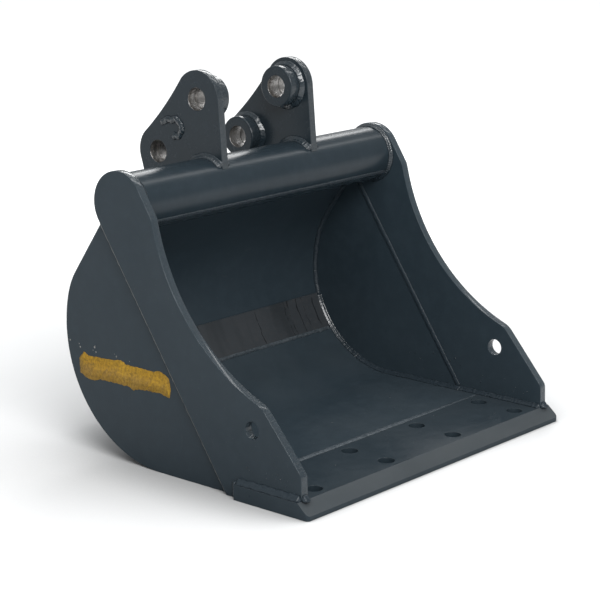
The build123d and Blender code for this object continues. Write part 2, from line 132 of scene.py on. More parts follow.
# ---- colours (linear) --------------------------------------------------------
PAINT = (0.0190, 0.0290, 0.0370)
PAINT_LIGHT = (0.0250, 0.0355, 0.0440)
# paler grey for thin, rubbed paint and painted highlights along edges, and for speckles on flame-cut faces
PALE_EDGE_GREY = (0.07, 0.08, 0.085)
CHALK = (0.045, 0.055, 0.062)
DUST = (0.075, 0.085, 0.090)
OVERSPRAY = (0.15, 0.16, 0.165)
SLOPE_GREY = (0.105, 0.108, 0.108)
BARE_STEEL = (0.30, 0.29, 0.28)
STAINED_STEEL = (0.20, 0.185, 0.17)
PRIMER = (0.030, 0.035, 0.040)
PRIMER_LIGHT = (0.040, 0.045, 0.050)
PRIMER_GRIT = (0.055, 0.055, 0.055)
SMUDGE = (0.014, 0.018, 0.020)
SCORE = (0.005, 0.006, 0.007)
OCHRE = (0.36, 0.200, 0.016)
OCHRE_LIGHT = (0.42, 0.245, 0.022)
OCHRE_GRIME = (0.16, 0.09, 0.015)
OCHRE_WORN = (0.05, 0.045, 0.03)
OCHRE_RIM = (0.10, 0.06, 0.015)
PAPER_DIRTY = (0.05, 0.055, 0.06)
PAPER = (0.34, 0.34, 0.32)


# ---- shader helpers ------------------------------------------------------------
def add(tree, kind, values=None, **settings):
    """Add a shader node; values holds numbers, or the sockets that feed its inputs."""
    made = tree.nodes.new("ShaderNode" + kind)
    for key, value in settings.items():
        setattr(made, key, value)
    for socket, value in (values or {}).items():
        if isinstance(value, bpy.types.NodeSocket):
            tree.links.new(value, made.inputs[socket])
        else:
            made.inputs[socket].default_value = value
    return made


def math_node(tree, operation, a, b=0.0):
    return add(tree, "Math", {0: a, 1: b}, operation=operation).outputs[0]


def multiply(tree, a, b):
    return math_node(tree, "MULTIPLY", a, b)


def place(tree, stretch=(1, 1, 1), turn=(0, 0, 0)):
    """Object coordinates in metres, stretched per axis."""
    coords = add(tree, "TexCoord").outputs["Object"]
    return add(tree, "Mapping", {"Vector": coords, "Scale": stretch, "Rotation": turn}).outputs[0]


def clouds(tree, scale, detail=4.0, stretch=(1, 1, 1), turn=(0, 0, 0), rough=0.55, distort=0.0):
    """Noise; the scale is in waves per metre."""
    values = {"Vector": place(tree, stretch, turn), "Scale": scale, "Detail": detail,
              "Roughness": rough, "Distortion": distort}
    return add(tree, "TexNoise", values).outputs["Fac"]


def ramp(tree, value, low, high, out_low=0.0, out_high=1.0):
    values = {"Value": value, "From Min": low, "From Max": high, "To Min": out_low, "To Max": out_high}
    return add(tree, "MapRange", values, clamp=True).outputs[0]


def blend_colour(tree, factor, first, second):
    made = add(tree, "Mix", {0: factor}, data_type="RGBA", blend_type="MIX")
    for index, value in ((6, first), (7, second)):
        if isinstance(value, bpy.types.NodeSocket):
            tree.links.new(value, made.inputs[index])
        else:
            made.inputs[index].default_value = (*value, 1.0)
    return made.outputs[2]


def tinted(colour, tone):
    return [tone * value for value in colour]


def bump(tree, height, distance, strength, normal=None):
    values = {"Height": height, "Distance": distance, "Strength": strength}
    if normal is not None:
        values["Normal"] = normal
    return add(tree, "Bump", values).outputs["Normal"]


def surface_normal(tree):
    return add(tree, "NewGeometry").outputs["Normal"]


def facing(tree, axis):
    """How far the surface's own normal points along one axis, without sign."""
    part = add(tree, "SeparateXYZ", {0: surface_normal(tree)}).outputs[axis]
    return math_node(tree, "ABSOLUTE", part)


def flatness(tree, normal, radius):
    """1 on flat faces, less within this radius of a sharp edge."""
    soft_normal = add(tree, "Bevel", {"Radius": radius}, samples=4).outputs[0]
    values = {0: soft_normal, 1: normal}
    return add(tree, "VectorMath", values, operation="DOT_PRODUCT").outputs["Value"]


def new_material(name):
    material = bpy.data.materials.new(name)
    material.use_nodes = True
    tree = material.node_tree
    tree.nodes.clear()
    output = tree.nodes.new("ShaderNodeOutputMaterial")
    shader = tree.nodes.new("ShaderNodeBsdfPrincipled")
    tree.links.new(shader.outputs[0], output.inputs[0])
    return material, tree, shader


def connect(tree, shader, base, rough, surface, shine):
    """Wire colour, roughness and bumped normal to the shader; shine is its specular level."""
    tree.links.new(base, shader.inputs["Base Color"])
    tree.links.new(rough, shader.inputs["Roughness"])
    tree.links.new(surface, shader.inputs["Normal"])
    shader.inputs["Specular IOR Level"].default_value = shine


# ---- paint on the plates ---------------------------------------------------------
def overspray(tree, amount):
    """Mask of small specks of overspray and grit, in one of forty cells of about 5 mm."""
    cells = add(tree, "TexVoronoi", {"Vector": place(tree), "Scale": 190.0}, feature="F1")
    chance = add(tree, "SeparateColor", {0: cells.outputs["Color"]}).outputs[0]
    near = math_node(tree, "LESS_THAN", cells.outputs["Distance"], 0.15)
    rare = math_node(tree, "GREATER_THAN", chance, 0.975)
    return multiply(tree, multiply(tree, near, rare), amount)


def slope_grey_mask(tree, up, amount):
    """Mask of the sloping ground face of the cutting edge."""
    slope = multiply(tree, ramp(tree, up, 0.3, 0.5), ramp(tree, up, 0.95, 0.85))
    slope_tint = clouds(tree, 14.0, 5.0, stretch=(0.35, 1.5, 1.5))
    return multiply(tree, slope, ramp(tree, slope_tint, 0.2, 0.6, 0.6 * amount, amount))


def bore_mask(tree):
    """1 inside the pin bores, 0 on the painted steel round them."""
    coords = add(tree, "TexCoord").outputs["Object"]
    split = add(tree, "SeparateXYZ", {0: coords})
    masks = []
    for pin in (UPPER_PIN, LOWER_PIN):
        flat = add(tree, "CombineXYZ", {1: split.outputs[1], 2: split.outputs[2]}).outputs[0]
        values = {0: flat, 1: (0, pin.y, pin.z)}
        span = add(tree, "VectorMath", values, operation="DISTANCE").outputs["Value"]
        masks.append(math_node(tree, "LESS_THAN", span, PIN_R + 0.25 * MM))
    return math_node(tree, "MAXIMUM", masks[0], masks[1])


def paint(name, tone, gloss=0.34, dust=0.12, peel=1.0, flame_cut=False, bores=False,
          specks=0.12, shine=0.15, slope_tint=0.0, wear=1.0):
    """Dark semi-gloss paint on steel plate, with dust, specks, rubbed edges that also carry a painted
    highlight, and orange peel.

    tone scales the colour, gloss is the roughness and shine the specular level. dust, peel, specks,
    slope_tint and wear are amounts, slope_tint for a paler sloping face. flame_cut adds drag lines, and bores
    bare steel in the pin bores.
    """
    material, tree, shader = new_material(name)
    cloud = clouds(tree, 5.0, 5.0)
    grain = clouds(tree, 60.0, 6.0, rough=0.65)
    fine = clouds(tree, 750.0, 2.0)
    tint = ramp(tree, cloud, 0.3, 0.7)
    base = blend_colour(tree, tint, tinted(PAINT, tone), tinted(PAINT_LIGHT, tone))
    mottle = multiply(tree, ramp(tree, grain, 0.45, 0.75), 0.25)
    base = blend_colour(tree, mottle, base, tinted(PAINT_LIGHT, 1.5 * tone))

    # dust lies on what faces up
    normal = surface_normal(tree)
    up = add(tree, "SeparateXYZ", {0: normal}).outputs[2]
    lying = multiply(tree, ramp(tree, up, 0.2, 0.95), ramp(tree, cloud, 0.35, 0.75))
    lying = multiply(tree, lying, dust)
    base = blend_colour(tree, lying, base, DUST)
    base = blend_colour(tree, overspray(tree, specks), base, OVERSPRAY)
    # paler grey on the sloping face of the cutting edge
    if slope_tint:
        base = blend_colour(tree, slope_grey_mask(tree, up, slope_tint), base, SLOPE_GREY)

    # hairline scratches
    scratch = clouds(tree, 26.0, 3.0, stretch=(1.0, 14.0, 1.2), turn=(0.5, 0.2, 0.9), distort=0.3)
    line = multiply(tree, ramp(tree, scratch, 0.70, 0.73), 0.3 * wear)
    base = blend_colour(tree, line, base, CHALK)

    # paint is thin and rubbed along sharp edges, and the paler grey there is also a painted highlight on the
    # arrises
    rubbed_and_highlit = ramp(tree, flatness(tree, normal, 1.2 * MM), 0.985, 0.86)
    rubbed_and_highlit = multiply(tree, rubbed_and_highlit, ramp(tree, clouds(tree, 140.0, 4.0), 0.45, 0.62))
    base = blend_colour(tree, multiply(tree, rubbed_and_highlit, 0.4), base, PALE_EDGE_GREY)

    rough = ramp(tree, grain, 0.3, 0.7, gloss - 0.05 * peel, gloss + 0.07 * peel)
    rough = math_node(tree, "ADD", rough, multiply(tree, lying, 0.5))
    surface = bump(tree, fine, 0.06 * MM * peel, 0.4)
    surface = bump(tree, grain, 0.25 * MM * peel, 0.3, surface)
    if flame_cut:
        # drag lines across the thickness of the plate, on faces that turn away from X
        cut = ramp(tree, facing(tree, 0), 0.75, 0.45)
        lines = clouds(tree, 1.0, 3.0, stretch=(60.0, 420.0, 420.0), rough=0.7)
        pits = clouds(tree, 380.0, 3.0, rough=0.7)
        relief = math_node(tree, "ADD", lines, multiply(tree, pits, 0.8))
        surface = bump(tree, multiply(tree, relief, cut), 1.1 * MM, 0.8, surface)
        lift = multiply(tree, cut, ramp(tree, pits, 0.45, 0.62))
        base = blend_colour(tree, multiply(tree, lift, 0.15), base, PALE_EDGE_GREY)
        rough = math_node(tree, "SUBTRACT", rough, multiply(tree, cut, 0.16))
        tree.links.new(multiply(tree, cut, 0.5), shader.inputs["Coat Weight"])
        shader.inputs["Coat Roughness"].default_value = 0.1
    if bores:
        inside = bore_mask(tree)
        rings = clouds(tree, 1.0, 2.0, stretch=(1500.0, 60.0, 60.0))
        stain = ramp(tree, clouds(tree, 30.0, 4.0, stretch=(2.0, 1.0, 1.0)), 0.45, 0.7)
        steel = blend_colour(tree, stain, BARE_STEEL, STAINED_STEEL)
        base = blend_colour(tree, inside, base, steel)
        painted_rough = multiply(tree, rough, math_node(tree, "SUBTRACT", 1.0, inside))
        steel_rough = multiply(tree, inside, ramp(tree, rings, 0.3, 0.7, 0.22, 0.38))
        rough = math_node(tree, "ADD", painted_rough, steel_rough)
        surface = bump(tree, multiply(tree, rings, inside), 0.05 * MM, 0.4, surface)
        tree.links.new(inside, shader.inputs["Metallic"])
    connect(tree, shader, base, rough, surface, shine)
    return material


# ---- the other materials -----------------------------------------------------------
def weld_paint(name, low, high, gloss, shine, wet, skin=0.4):
    """Painted weld bead between two colours, with pinholes; wet is its clear coat, skin its bump."""
    material, tree, shader = new_material(name)
    grain = clouds(tree, 260.0, 5.0, rough=0.7)
    base = blend_colour(tree, ramp(tree, grain, 0.35, 0.65), low, high)
    pinholes = ramp(tree, clouds(tree, 600.0, 2.0), 0.66, 0.72)
    base = blend_colour(tree, multiply(tree, pinholes, 0.5), base, CHALK)
    rough = ramp(tree, grain, 0.3, 0.7, gloss - 0.05, gloss + 0.12)
    surface = bump(tree, clouds(tree, 200.0, 3.0, rough=0.55), 0.15 * MM, skin)
    connect(tree, shader, base, rough, surface, shine)
    shader.inputs["Coat Weight"].default_value = wet
    shader.inputs["Coat Roughness"].default_value = 0.07
    return material


def weld_looks():
    """The ways the paint lies on the beads."""
    return {
        "thick": weld_paint("weld_paint", (0.009, 0.015, 0.020), (0.019, 0.028, 0.035),
                            gloss=0.14, shine=0.4, wet=0.4),
        "wet": weld_paint("weld_paint_wet", (0.014, 0.021, 0.027), (0.030, 0.040, 0.048),
                          gloss=0.2, shine=0.45, wet=0.3, skin=0.0),
        # lighter weld paint: wear on exposed beads, and a painted highlight
        "rubbed_and_highlit": weld_paint("weld_paint_rubbed", (0.032, 0.042, 0.050), (0.085, 0.100, 0.112),
                             gloss=0.34, shine=0.25, wet=0.1),
        "faint": weld_paint("weld_paint_faint", (0.018, 0.025, 0.032), (0.046, 0.056, 0.064),
                            gloss=0.36, shine=0.2, wet=0.05),
        "smooth": weld_paint("weld_paint_smooth", (0.016, 0.024, 0.031), (0.024, 0.033, 0.041),
                             gloss=0.3, shine=0.2, wet=0.1),
        # pale weld paint: a painted reflection, much lighter than the other beads, for the outer seams
        "pale_reflection": weld_paint("weld_paint_dusty", (0.085, 0.088, 0.088), (0.135, 0.135, 0.130),
                            gloss=0.42, shine=0.2, wet=0.0),
    }


# dark upright scores in the joint strip: (place along X, half width), in mm
SCORES = [(98, 0.7), (160, 0.5), (167, 0.9), (187, 0.8), (200, 0.5), (222, 0.9), (-20, 0.6), (-130, 0.6)]


def score_mask(tree):
    """Mask of the scores, which waver a little and are broken in places."""
    coords = add(tree, "TexCoord").outputs["Object"]
    split = add(tree, "SeparateXYZ", {0: coords})
    wobble = ramp(tree, clouds(tree, 60.0, 3.0), 0.3, 0.7, -1.5 * MM, 1.5 * MM)
    across = math_node(tree, "ADD", split.outputs[0], wobble)
    scores = None
    for middle_mm, half_mm in SCORES:
        off = math_node(tree, "ABSOLUTE", math_node(tree, "SUBTRACT", across, middle_mm * MM))
        line = math_node(tree, "LESS_THAN", off, half_mm * MM)
        scores = line if scores is None else math_node(tree, "MAXIMUM", scores, line)
    broken = ramp(tree, clouds(tree, 70.0, 3.0), 0.38, 0.46)
    return multiply(tree, scores, broken)


def strip_paint(name):
    """Thin brown-grey primer on the joint strip, with upright scores and dark smudges."""
    material, tree, shader = new_material(name)
    cloud = clouds(tree, 9.0, 5.0)
    grain = clouds(tree, 160.0, 5.0, rough=0.7)
    base = blend_colour(tree, ramp(tree, cloud, 0.3, 0.7), PRIMER, PRIMER_LIGHT)
    grit = multiply(tree, ramp(tree, grain, 0.5, 0.7), 0.4)
    base = blend_colour(tree, grit, base, PRIMER_GRIT)
    wide = ramp(tree, clouds(tree, 1.0, 2.0, stretch=(22.0, 3.0, 3.0)), 0.52, 0.66)
    base = blend_colour(tree, multiply(tree, wide, 0.55), base, SMUDGE)
    scores = score_mask(tree)
    base = blend_colour(tree, multiply(tree, scores, 0.85), base, SCORE)
    rough = ramp(tree, grain, 0.3, 0.7, 0.4, 0.62)
    surface = bump(tree, scores, -0.3 * MM, 0.6)
    surface = bump(tree, grain, 0.25 * MM, 0.5, surface)
    connect(tree, shader, base, rough, surface, shine=0.3)
    return material


def label_ink(name):
    """Blank yellow-ochre sticker, faded, scuffed and grubby towards its edges."""
    material, tree, shader = new_material(name)
    cloud = clouds(tree, 22.0, 5.0)
    grain = clouds(tree, 260.0, 5.0, rough=0.7)
    base = blend_colour(tree, ramp(tree, cloud, 0.3, 0.7), OCHRE, OCHRE_LIGHT)
    grime = multiply(tree, ramp(tree, grain, 0.5, 0.72), 0.08)
    base = blend_colour(tree, grime, base, OCHRE_GRIME)
    scuff = clouds(tree, 34.0, 4.0, stretch=(1.0, 3.0, 9.0), turn=(0.2, 0, 0), distort=0.6)
    worn = multiply(tree, ramp(tree, scuff, 0.62, 0.68), 0.35)
    base = blend_colour(tree, worn, base, OCHRE_WORN)
    rim = ramp(tree, flatness(tree, surface_normal(tree), 2.0 * MM), 0.995, 0.9)
    rim = multiply(tree, rim, ramp(tree, grain, 0.35, 0.6))
    base = blend_colour(tree, multiply(tree, rim, 0.6), base, OCHRE_RIM)
    rough = ramp(tree, grain, 0.3, 0.7, 0.45, 0.65)
    surface = bump(tree, cloud, 0.8 * MM, 0.4)
    surface = bump(tree, grain, 0.05 * MM, 0.4, surface)
    connect(tree, shader, base, rough, surface, shine=0.2)
    return material


def paper_backing(name):
    """Pale torn paper from the back of the sticker."""
    material, tree, shader = new_material(name)
    grain = clouds(tree, 400.0, 4.0, rough=0.7)
    base = blend_colour(tree, ramp(tree, grain, 0.4, 0.65), PAPER_DIRTY, PAPER)
    tree.links.new(base, shader.inputs["Base Color"])
    tree.links.new(bump(tree, grain, 0.2 * MM, 0.6), shader.inputs["Normal"])
    shader.inputs["Roughness"].default_value = 0.8
    shader.inputs["Specular IOR Level"].default_value = 0.2
    return material


# ---- making pieces -------------------------------------------------------------------
def tidy_normals(mesh):
    """Face every polygon outwards and shade it smooth."""
    work = bmesh.new()
    work.from_mesh(mesh)
    bmesh.ops.recalc_face_normals(work, faces=work.faces)
    work.to_mesh(mesh)
    work.free()
    mesh.polygons.foreach_set("use_smooth", [True] * len(mesh.polygons))


def add_piece(name, verts, faces, material, replaced=()):
    mesh = bpy.data.meshes.new(name)
    mesh.from_pydata(verts, [], faces)
    mesh.validate()
    tidy_normals(mesh)
    mesh.materials.append(material)
    piece = bpy.data.objects.new(name, mesh)
    bpy.context.scene.collection.objects.link(piece)
    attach(piece, BODY)
    if replaced:
        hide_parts(*replaced)


# ---- weld beads ------------------------------------------------------------------------
ACROSS = 8                  # faces over the width of a bead
FINE = 0.6 * MM             # spacing of stations along the beads that show
COARSE = 1.1 * MM           # and along the ones behind and below
END_GAP = 5 * MM            # how far a bead stays off the plates at its ends
END_SIZE = 0.35             # size at the very end of a bead, against its full size
END_TAPER_MM = 4.0
FADED_SIZE = 0.4            # width of a bead that has faded away, against its full width
ROOT_MM = 0.5               # how far a bead's root goes below the corner
LEAN = 0.05                 # how far the legs of a bead on a flat face lean off it

TUBE_SEAM_ANGLE = math.radians(-143)
TUBE_END_ARC = (math.radians(-34), math.radians(310))
EAR_ARC = (math.radians(133), math.radians(-36))
EAR_FOOT_MM = 62            # how far the ears run down the back from the top of the seam
SEAM_FOOT = 3.4 * MM        # height at which the outer seam bead ends, clear of the floor
BACK_END = math.pi / 2 - BACK_ANGLE
HEEL_TOP = math.radians(-20)
HEEL_END = math.radians(-64)
HEEL_LAP = 0.02             # radians by which the heel bead runs into its neighbours
UNDERSIDE = -math.pi / 2


def straight(start, end, leg_a, leg_b, step):
    """Stations along a straight corner: (corner, direction of leg a, direction of leg b)."""
    count = max(2, int((end - start).length / step) + 1)
    return [(start.lerp(end, i / (count - 1)), leg_a, leg_b) for i in range(count)]


def round_run(centre, radius, x, along, outward, angle_from, angle_to, step):
    """Stations round an X axis; leg a runs along X, leg b along the radius."""
    turn = angle_to - angle_from
    count = max(3, int(abs(turn) * radius / step) + 1)
    stations = []
    for i in range(count):
        spoke = unit(angle_from + turn * i / (count - 1))
        stations.append((at(x, centre + spoke * radius), Vector((along, 0, 0)), spoke * outward))
    return stations


def waver(x, y, z):
    """Smooth noise between about -1 and 1."""
    return noise.noise(Vector((x, y, z)))


def stitch(faces, first, rows, closed):
    """Faces between the rows of a bead, and over its two ends."""
    ring = ACROSS + 2
    for i in range(rows if closed else rows - 1):
        here = first + i * ring
        there = first + ((i + 1) % rows) * ring
        for j in range(ring):
            k = (j + 1) % ring
            faces.append((here + j, there + j, there + k, here + k))
    if not closed:
        faces.append(tuple(range(first, first + ring)))
        faces.append(tuple(reversed(range(first + (rows - 1) * ring, first + rows * ring))))


def bead(name, nodes, runs, material, size, crown, ripple, pitch, seed,
         dish=0.0, wander=0.12, fade=None):
    """Rippled weld bead through lists of stations, in place of the plain CAD beads.

    In mm: size is the length of its two legs, crown the height of its arch, dish the hollow along
    its middle, and ripple and pitch the height and length of its waves. wander is how much the legs
    vary, and fade gives the bead's level from the start of a run (0) to its end (1).
    """
    verts, faces = [], []
    for number, run in enumerate(runs):
        lengths = [0.0]
        for (here, _, _), (there, _, _) in zip(run, run[1:]):
            lengths.append(lengths[-1] + (there - here).length / MM)
        total = lengths[-1]
        closed = (run[0][0] - run[-1][0]).length < 0.2 * MM
        first = len(verts)
        rows = len(run) - 1 if closed else len(run)
        for (corner, leg_a, leg_b), s in zip(run[:rows], lengths):
            end = 1.0 if closed else min(1.0, END_SIZE + min(s, total - s) / END_TAPER_MM)
            level = fade(s / total) if fade else 1.0
            width = FADED_SIZE + (1 - FADED_SIZE) * level
            drift = waver(s * 0.11, seed * 7.3, number * 3.1)
            swell_a = waver(s * 0.31, seed * 3.9, 5.0 + number)
            swell_b = waver(s * 0.27, seed, 9.0)
            a = size[0] * end * width * (1 + wander * drift + wander * 0.6 * swell_a)
            b = size[1] * end * width * (1 - wander * drift + wander * 0.6 * swell_b)
            out = (leg_a + leg_b).normalized()
            lag = 0.35 * waver(s * 0.16, seed * 1.7, 2.0)
            for j in range(ACROSS + 1):
                t = j / ACROSS
                arch = math.sin(math.pi * t)
                phase = s / pitch - 0.55 * arch + lag
                crest = 0.5 + 0.5 * math.cos(2 * math.pi * phase)
                wave = ripple * crest ** 1.6 * arch ** 0.6
                slag = waver(s * 0.9, t * 3.0, seed * 2.3)
                rise = crown * arch - dish * arch ** 3 + wave + 0.25 * ripple * slag
                rise *= level * end
                edge = leg_a * (a * (1 - t)) + leg_b * (b * t)
                verts.append(corner + (edge + out * rise) * MM)
            verts.append(corner - out * ROOT_MM * MM)
        stitch(faces, first, rows, closed)
    add_piece(name, verts, faces, material, nodes)


def weld_tube_seam(looks):
    """The tube's own lengthwise seam, a low ridge with both legs almost flat on the tube."""
    spoke = unit(TUBE_SEAM_ANGLE)
    tangent = unit(TUBE_SEAM_ANGLE + math.pi / 2)
    start = at(-CUTTER_IN + END_GAP, AXIS + spoke * (TUBE_R - 0.2 * MM))
    stop = at(CUTTER_IN - END_GAP, start)
    leg_a = (tangent + spoke * LEAN).normalized()
    leg_b = (-tangent + spoke * LEAN).normalized()
    run = straight(start, stop, leg_a, leg_b, FINE)
    bead("tube_seam_bead", ["tube_seam_weld"], [run], looks["faint"], size=(3.4, 3.4),
         crown=1.3, ripple=0.45, pitch=3.4, seed=3, dish=0.7, wander=0.25)


def weld_back_to_tube(looks):
    corner = back_meets_tube(BACK_REACH)
    away = (BACK_OUT * 0.85 + BACK_UP * 0.5).normalized()
    gaps = [(-SIDE_IN, -EAR_OUT), (-EAR_IN, EAR_IN), (EAR_OUT, SIDE_IN)]
    runs = [straight(at(x0, corner), at(x1, corner), -BACK_UP, away, COARSE) for x0, x1 in gaps]
    bead("back_plate_tube_bead", ["back_plate_tube_weld"], runs, looks["thick"], size=(6.0, 5.0),
         crown=0.9, ripple=0.4, pitch=4.2, seed=4)


def floor_seam_level(t):
    """The seam in the floor is full over its left two thirds, then fades to almost nothing."""
    return min(1.0, max(0.06, 1.0 - (t - 0.66) * 4))


def weld_edge_to_floor(looks):
    """Floor plate to cutting edge, from above and from below."""
    rear_leg = Vector((0, 1, 0.04)).normalized()
    front_leg = Vector((0, -1, 0.04)).normalized()
    top = Vector((0, EDGE_REAR, EDGE_TOP - 0.1 * MM))
    run = straight(at(-SIDE_IN + END_GAP, top), at(SIDE_IN - END_GAP, top), rear_leg, front_leg, FINE)
    # the lighter weld paint here is wear and a painted highlight
    bead("edge_floor_bead", ["edge_floor_weld"], [run], looks["rubbed_and_highlit"], size=(5.0, 5.0),
         crown=1.4, ripple=0.5, pitch=3.6, seed=6, fade=floor_seam_level)
    under = Vector((0, EDGE_REAR, FLOOR_LOW))
    run = straight(at(-SIDE_IN, under), at(SIDE_IN, under), REARWARD, -UP, COARSE)
    bead("edge_floor_bead_under", ["edge_floor_weld"], [run], looks["thick"], size=(5.0, 5.0),
         crown=0.8, ripple=0.4, pitch=4.2, seed=7)


def weld_joint_strip(looks):
    """Lower edge of the joint strip to the shell."""
    low_angle = math.asin((strip_low.z - SHELL_C.z) / SHELL_IN)
    corner = SHELL_C + unit(low_angle) * SHELL_IN
    half = strip_high.x
    run = straight(at(-half, corner), at(half, corner),
                   -unit(low_angle), unit(low_angle - math.pi / 2), FINE)
    # the lighter weld paint here is wear and a painted highlight
    bead("joint_strip_bead", ["joint_strip_weld"], [run], looks["rubbed_and_highlit"], size=(3.6, 4.6),
         crown=0.6, ripple=0.7, pitch=3.0, seed=9, wander=0.3)


def weld_tube_end(name, side, looks):
    run = round_run(AXIS, TUBE_R, side * CUTTER_IN, -side, 1, *TUBE_END_ARC, FINE)
    bead("tube_end_bead_" + name, ["tube_end_weld_" + name], [run], looks["thick"],
         size=(6.0, 4.2), crown=1.3, ripple=0.45, pitch=3.2, seed=11 + side, dish=1.1)


def weld_ear(name, side, looks):
    """Both faces of an ear, round the tube and then down the back."""
    head = SEAM_TOP - BACK_UP * 2 * MM
    foot = SEAM_TOP - BACK_UP * EAR_FOOT_MM * MM
    runs = []
    for x, face in ((side * EAR_OUT, side), (side * EAR_IN, -side)):
        run = round_run(AXIS, TUBE_R, x, face, 1, *EAR_ARC, FINE)
        run += straight(at(x, head), at(x, foot), Vector((face, 0, 0)), BACK_OUT, COARSE)
        runs.append(run)
    bead("ear_tube_bead_" + name, ["ear_tube_weld_" + name], runs, looks["thick"],
         size=(7.0, 7.0), crown=0.5, ripple=0.3, pitch=3.6, seed=21 + side, dish=0.9)


def weld_bosses(name, side, looks):
    for level, pin, seed in (("upper", UPPER_PIN, 35), ("lower", LOWER_PIN, 31)):
        run = round_run(pin, BOSS_R, side * EAR_IN, -side, 1, 0.0, 2 * math.pi, FINE)
        bead(level + "_boss_bead_" + name, [level + "_boss_weld_" + name], [run], looks["thick"],
             size=(6.4, 5.8), crown=0.9, ripple=0.16, pitch=3.8, seed=seed + side, dish=0.6)


def weld_slanted_seam(name, side, looks):
    """Side cutter to rear side plate, outside and inside."""
    inward = Vector((-side, 0, 0))
    x = side * SIDE_OUT
    run = straight(at(x, SEAM_TOP), at(x, seam_at(SEAM_FOOT)), -inward, STRIP_REAR, FINE)
    # the outer seam bead's pale paint is a painted reflection
    bead("outer_seam_bead_" + name, ["outer_seam_weld_" + name], [run], looks["pale_reflection"],
         size=(5.2, 8.0), crown=0.6, ripple=0.12, pitch=3.0, seed=41 + side, wander=0.1)

    top = seam_at(SEAM_TOP.z - 18 * MM)
    foot = seam_at(EDGE_TOP + 3 * MM)
    x = side * (SIDE_IN + 0.75 * MM)
    leg_a = (STRIP_REAR + inward * LEAN).normalized()
    leg_b = (-STRIP_REAR + inward * LEAN).normalized()
    run = straight(at(x, top), at(x, foot), leg_a, leg_b, FINE)
    bead("inner_seam_bead_" + name, ["inner_seam_weld_" + name], [run], looks["smooth"],
         size=(4.0, 4.4), crown=1.6, ripple=0.12, pitch=3.0, seed=51 + side, wander=0.1)


def weld_inner_side(name, side, looks):
    """Shell to side plate in the cavity, in three beads: the back, the heel and the floor."""
    node = ["inner_side_weld_" + name]
    inward = Vector((-side, 0, 0))
    x = side * SIDE_IN
    tube_corner = back_meets_tube(BACK_REACH - SHELL_THICK)
    run = straight(at(x, tube_corner), at(x, SHELL_C + BACK_OUT * SHELL_IN), inward, -BACK_OUT, FINE)
    run += round_run(SHELL_C, SHELL_IN, x, -side, -1, BACK_END, HEEL_TOP, FINE)[1:]
    bead("inner_side_bead_back_" + name, node, [run], looks["smooth"],
         size=(4.6, 4.6), crown=0.8, ripple=0.3, pitch=3.0, seed=61 + side, wander=0.2)

    run = round_run(SHELL_C, SHELL_IN, x, -side, -1, HEEL_TOP + HEEL_LAP, HEEL_END - HEEL_LAP, FINE)
    bead("inner_side_bead_heel_" + name, node, [run], looks["wet"],
         size=(5.4, 5.4), crown=1.2, ripple=0.04, pitch=7.0, seed=65 + side, dish=1.3, wander=0.06)

    seam_floor = seam_at(EDGE_TOP)
    toe = Vector((side * CUTTER_IN, CUTTER_TOE, EDGE_TOP))
    run = round_run(SHELL_C, SHELL_IN, x, -side, -1, HEEL_END, UNDERSIDE, FINE)
    run += straight(at(x, run[-1][0]), at(x, seam_floor), inward, UP, FINE)[1:]
    run += straight(at(side * CUTTER_IN, seam_floor), toe, inward, UP, FINE)[1:]
    bead("inner_side_bead_floor_" + name, node, [run], looks["smooth"],
         size=(5.8, 5.4), crown=1.4, ripple=0.12, pitch=4.4, seed=68 + side, dish=1.3, wander=0.2)


def weld_outer_side(name, side, looks):
    """Shell to side plate outside, from the top of the back round to the cutting edge."""
    inward = Vector((-side, 0, 0))
    x = side * SIDE_IN
    run = straight(at(x, SEAM_TOP), at(x, SHELL_C + BACK_OUT * SHELL_R), inward, BACK_OUT, COARSE)
    run += round_run(SHELL_C, SHELL_R, x, -side, 1, BACK_END, UNDERSIDE, COARSE)[1:]
    run += straight(run[-1][0], Vector((x, EDGE_REAR, FLOOR_LOW)), inward, -UP, COARSE)[1:]
    bead("outer_side_bead_" + name, ["outer_side_weld_" + name], [run], looks["thick"],
         size=(5.0, 1.3), crown=0.7, ripple=0.35, pitch=4.0, seed=71 + side)


def weld_edge_to_cutter(name, side, looks):
    """Along the ledge of the cutting edge, down its rear end, and across the cutter's toe."""
    outward = Vector((side, 0, 0))
    front = Vector((side * CUTTER_OUT, CUTTER_TOE, EDGE_TOP))
    rear = Vector((side * CUTTER_OUT, EDGE_REAR, EDGE_TOP))
    runs = [straight(front + REARWARD * MM, rear, outward, UP, FINE),
            straight(rear + UP * 4 * MM, rear - UP * (EDGE_TOP - 1.5 * MM), outward, REARWARD, FINE),
            straight(at(side * CUTTER_IN, front), front, FORWARD, UP, FINE)]
    bead("edge_side_bead_" + name, ["edge_side_weld_" + name], runs, looks["smooth"],
         size=(6.6, 7.4), crown=1.4, ripple=0.12, pitch=3.4, seed=81 + side, dish=0.8, wander=0.14)


def make_welds(looks):
    for weld in (weld_tube_seam, weld_back_to_tube, weld_edge_to_floor, weld_joint_strip):
        weld(looks)
    for name, side in SIDES.items():
        for weld in (weld_tube_end, weld_ear, weld_bosses, weld_slanted_seam, weld_inner_side,
                     weld_outer_side, weld_edge_to_cutter):
            weld(name, side, looks)


# ---- scar and spatter --------------------------------------------------------------------
# line of the scar on the left ear: (y, z) in mm from the tube's axis
SCAR_LINE = [(83, 77), (70, 81), (55, 84), (46, 78), (44, 69), (50, 62), (62, 60)]
SCAR_STEP = 0.7 * MM

SPATTER_HALF = 0.22         # half the width that spatter falls on
HOLE_CLEARANCE = 14 * MM
LUMP_RINGS = 3
LUMP_SPOKES = 8
LUMP_HEIGHT = 0.6           # against its radius
LUMP_SUNK = 0.1 * MM


